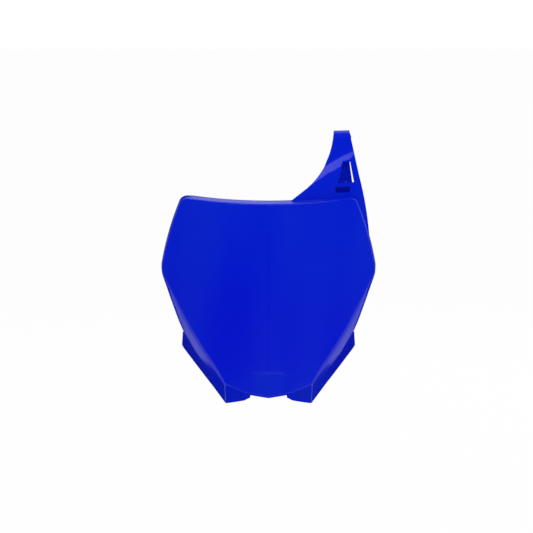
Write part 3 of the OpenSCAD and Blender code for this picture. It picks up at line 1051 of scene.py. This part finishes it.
nothing_selected()
bpy.ops.mesh.primitive_plane_add(size=FLOOR_SIZE, location=(0, 0, FLOOR_Z))
floor = named("floor")
paper = bpy.data.materials.new("pale_floor")
paper.use_nodes = True
nodes, links = paper.node_tree.nodes, paper.node_tree.links
nodes["Principled BSDF"].inputs["Base Color"].default_value = (0.9, 0.9, 0.9, 1)
nodes["Principled BSDF"].inputs["Roughness"].default_value = 0.9
glow = nodes.new("ShaderNodeEmission")
glow.inputs["Strength"].default_value = 1
lift = nodes.new("ShaderNodeMath")
lift.operation = "MULTIPLY"
lift.inputs[1].default_value = FLOOR_LIFT
links.new(seen_directly(nodes, links), lift.inputs[0])
blend = nodes.new("ShaderNodeMixShader")
links.new(lift.outputs[0], blend.inputs["Fac"])
links.new(nodes["Principled BSDF"].outputs["BSDF"], blend.inputs[1])
links.new(glow.outputs["Emission"], blend.inputs[2])
links.new(blend.outputs["Shader"], nodes["Material Output"].inputs["Surface"])
floor.data.materials.append(paper)

world = bpy.data.worlds.new("studio")
bpy.context.scene.world = world
world.use_nodes = True
nodes, links = world.node_tree.nodes, world.node_tree.links
level = nodes.new("ShaderNodeMapRange")
level.inputs["To Min"].default_value = WORLD_LIGHT
level.inputs["To Max"].default_value = WORLD_SEEN
links.new(seen_directly(nodes, links), level.inputs["Value"])
nodes["Background"].inputs["Color"].default_value = (1, 1, 1, 1)
links.new(level.outputs["Result"], nodes["Background"].inputs["Strength"])

# %% [markdown]
# ## Lamps and black cards
# Big soft lamps stand above, behind and at both sides. Only the high one in front is mirrored:
# it makes the light wedge on the arm's step. A glossy part in a white studio would look milky,
# so black cards stand where the large faces would mirror the white: in front, above, behind
# and under the board. Gaps between the low ones leave some pale floor to be mirrored. The
# cards are seen only in reflections and take no light from the board.

# %% Lamps and cards
CARD_Z = FLOOR_Z + 0.01


def lamp(name, place, size, power, mirrored=False):
    """A soft lamp that points at the board, in metres and watts."""
    data = bpy.data.lights.new(name, "AREA")
    data.shape = "RECTANGLE"
    data.size, data.size_y = size
    data.energy = power
    obj = bpy.data.objects.new(name, data)
    bpy.context.scene.collection.objects.link(obj)
    obj.location = place
    obj.rotation_euler = (LOOK_AT - Vector(place)).to_track_quat("-Z", "Y").to_euler()
    obj.visible_camera = False
    obj.visible_glossy = mirrored


lamp("top_box", (0.1, -0.9, 1.7), (1.6, 1.0), 14)
lamp("high_box", (0.1, -1.7, 1.4), (1.4, 0.9), 8, mirrored=True)
lamp("left_box", (-1.7, -1.0, 0.5), (0.8, 1.6), 5)
lamp("right_box", (1.7, -0.9, 0.6), (0.8, 1.6), 7)
lamp("back_box", (0.6, 1.8, 1.0), (1.4, 1.4), 12)

black = bpy.data.materials.new("black_card")
black.use_nodes = True
shader = black.node_tree.nodes["Principled BSDF"]
shader.inputs["Base Color"].default_value = (0.01, 0.01, 0.01, 1)
shader.inputs["Roughness"].default_value = 1
shader.inputs["Specular IOR Level"].default_value = 0


def card(name, left, right, near, far, low=CARD_Z, high=CARD_Z):
    """A black card seen only in reflections; low and high are its near and far edge's heights."""
    nothing_selected()
    bpy.ops.mesh.primitive_plane_add(size=2)
    piece = named(name)
    for v in piece.data.vertices:
        y, z = (far, high) if v.co.y > 0 else (near, low)
        v.co = (right if v.co.x > 0 else left, y, z)
    piece.data.materials.append(black)
    piece.visible_camera = piece.visible_diffuse = piece.visible_shadow = False
    piece.visible_transmission = piece.visible_volume_scatter = False


card("front_wall", -4, 4, -2.8, -2.9, high=2.6)
card("top_card", -0.6, 2.5, -2.8, 0, 2.6, 3.2)
card("back_wall", -1.6, 1.6, 2.4, 2.5, high=1.3)
card("front_card", -4, 4, -2.8, -0.75)
card("under_card", -0.23, 0.23, -0.35, 0.4)
card("left_foot_card", -0.43, -0.23, 0.2, 0.4)
card("right_foot_card", 0.23, 0.43, 0.2, 0.4)
card("left_wing_card", -0.43, -0.34, 0.1, 0.2)
card("right_wing_card", 0.34, 0.43, 0.1, 0.2)
card("back_card", -1.6, 1.6, 0.4, 2.4)
bpy.context.scene.view_settings.view_transform = "Standard"

# %% Finish
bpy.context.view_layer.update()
